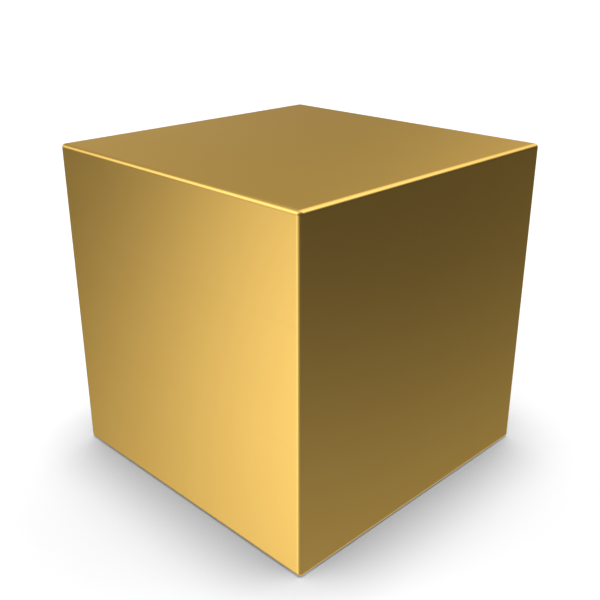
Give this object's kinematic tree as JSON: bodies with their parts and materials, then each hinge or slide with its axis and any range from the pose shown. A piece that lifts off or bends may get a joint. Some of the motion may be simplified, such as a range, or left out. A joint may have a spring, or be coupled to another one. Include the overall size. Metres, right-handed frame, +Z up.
{
  "type": "mirror block cube",
  "caption": "Satin gold cube puzzle with layers of unequal thickness on a sprung core; layers turn past each other and centre blocks pull out a little against springs.",
  "frame": {"origin": "centre of the closed cube's bottom face, on the surface it stands on; the core that the layers turn about is off centre at (-0.009, 0.006, 0.0315)", "axes": "+Z up; -Y toward the front face, +X toward the right face; the left layer is the thinnest and the right layer the thickest"},
  "size_m": [0.057, 0.057, 0.057],
  "materials": {
    "gold_aluminium": "satin",
    "black_plastic": "satin",
    "core_plastic": "matte",
    "spring_steel": "satin",
    "zinc_plated_steel": "satin"
  },
  "bodies": {
    "middle_layer": {"core_spider": "core_plastic", "left_tension_screw": "zinc_plated_steel", "left_washer": "zinc_plated_steel", "left_tension_spring": "spring_steel", "right_tension_screw": "zinc_plated_steel", "right_washer": "zinc_plated_steel", "right_tension_spring": "spring_steel", "front_tension_screw": "zinc_plated_steel", "front_washer": "zinc_plated_steel", "front_tension_spring": "spring_steel", "back_tension_screw": "zinc_plated_steel", "back_washer": "zinc_plated_steel", "back_tension_spring": "spring_steel", "bottom_tension_screw": "zinc_plated_steel", "bottom_washer": "zinc_plated_steel", "bottom_tension_spring": "spring_steel", "top_tension_screw": "zinc_plated_steel", "top_washer": "zinc_plated_steel", "top_tension_spring": "spring_steel", "front_left_edge": "gold_aluminium", "front_right_edge": "gold_aluminium", "back_left_edge": "gold_aluminium", "back_right_edge": "gold_aluminium"},
    "top_layer": {"top_front_edge": "gold_aluminium", "top_back_edge": "gold_aluminium", "top_left_edge": "gold_aluminium", "top_right_edge": "gold_aluminium", "top_front_left_corner_cap": "gold_aluminium", "top_front_left_corner_body": "black_plastic", "top_front_right_corner_cap": "gold_aluminium", "top_front_right_corner_body": "black_plastic", "top_back_left_corner_cap": "gold_aluminium", "top_back_left_corner_body": "black_plastic", "top_back_right_corner_cap": "gold_aluminium", "top_back_right_corner_body": "black_plastic"},
    "bottom_layer": {"bottom_front_edge": "gold_aluminium", "bottom_back_edge": "gold_aluminium", "bottom_left_edge": "gold_aluminium", "bottom_right_edge": "gold_aluminium", "bottom_front_left_corner_cap": "gold_aluminium", "bottom_front_left_corner_body": "black_plastic", "bottom_front_right_corner_cap": "gold_aluminium", "bottom_front_right_corner_body": "black_plastic", "bottom_back_left_corner_cap": "gold_aluminium", "bottom_back_left_corner_body": "black_plastic", "bottom_back_right_corner_cap": "gold_aluminium", "bottom_back_right_corner_body": "black_plastic"},
    "left_centre": {"left_hub": "black_plastic", "left_centre_cap": "gold_aluminium"},
    "right_centre": {"right_hub": "black_plastic", "right_centre_cap": "gold_aluminium"},
    "front_centre": {"front_hub": "black_plastic", "front_centre_cap": "gold_aluminium"},
    "back_centre": {"back_hub": "black_plastic", "back_centre_cap": "gold_aluminium"},
    "bottom_centre": {"bottom_hub": "black_plastic", "bottom_centre_cap": "gold_aluminium"},
    "top_centre": {"top_hub": "black_plastic", "top_centre_cap": "gold_aluminium"}
  },
  "joints": [
    {"name": "top_layer_turn", "type": "hinge", "parent": "middle_layer", "child": "top_layer", "pos_m": [-0.009, 0.006, 0.0315], "axis": [0, 0, 1], "continuous": true},
    {"name": "bottom_layer_turn", "type": "hinge", "parent": "middle_layer", "child": "bottom_layer", "pos_m": [-0.009, 0.006, 0.0315], "axis": [0, 0, 1], "continuous": true},
    {"name": "left_centre_pull", "type": "slide", "parent": "middle_layer", "child": "left_centre", "axis": [-1, 0, 0], "range_m": [0, 0.0008], "stiffness_N_per_m": 1100, "springref_m": -0.003, "deforming": ["left_tension_spring"]},
    {"name": "right_centre_pull", "type": "slide", "parent": "middle_layer", "child": "right_centre", "axis": [1, 0, 0], "range_m": [0, 0.0008], "stiffness_N_per_m": 1100, "springref_m": -0.003, "deforming": ["right_tension_spring"]},
    {"name": "front_centre_pull", "type": "slide", "parent": "middle_layer", "child": "front_centre", "axis": [0, -1, 0], "range_m": [0, 0.0008], "stiffness_N_per_m": 1100, "springref_m": -0.003, "deforming": ["front_tension_spring"]},
    {"name": "back_centre_pull", "type": "slide", "parent": "middle_layer", "child": "back_centre", "axis": [0, 1, 0], "range_m": [0, 0.0008], "stiffness_N_per_m": 1100, "springref_m": -0.003, "deforming": ["back_tension_spring"]},
    {"name": "bottom_centre_pull", "type": "slide", "parent": "bottom_layer", "child": "bottom_centre", "axis": [0, 0, -1], "range_m": [0, 0.0008], "stiffness_N_per_m": 1100, "springref_m": -0.003, "deforming": ["bottom_tension_spring"]},
    {"name": "top_centre_pull", "type": "slide", "parent": "top_layer", "child": "top_centre", "axis": [0, 0, 1], "range_m": [0, 0.0008], "stiffness_N_per_m": 1100, "springref_m": -0.003, "deforming": ["top_tension_spring"]}
  ]
}
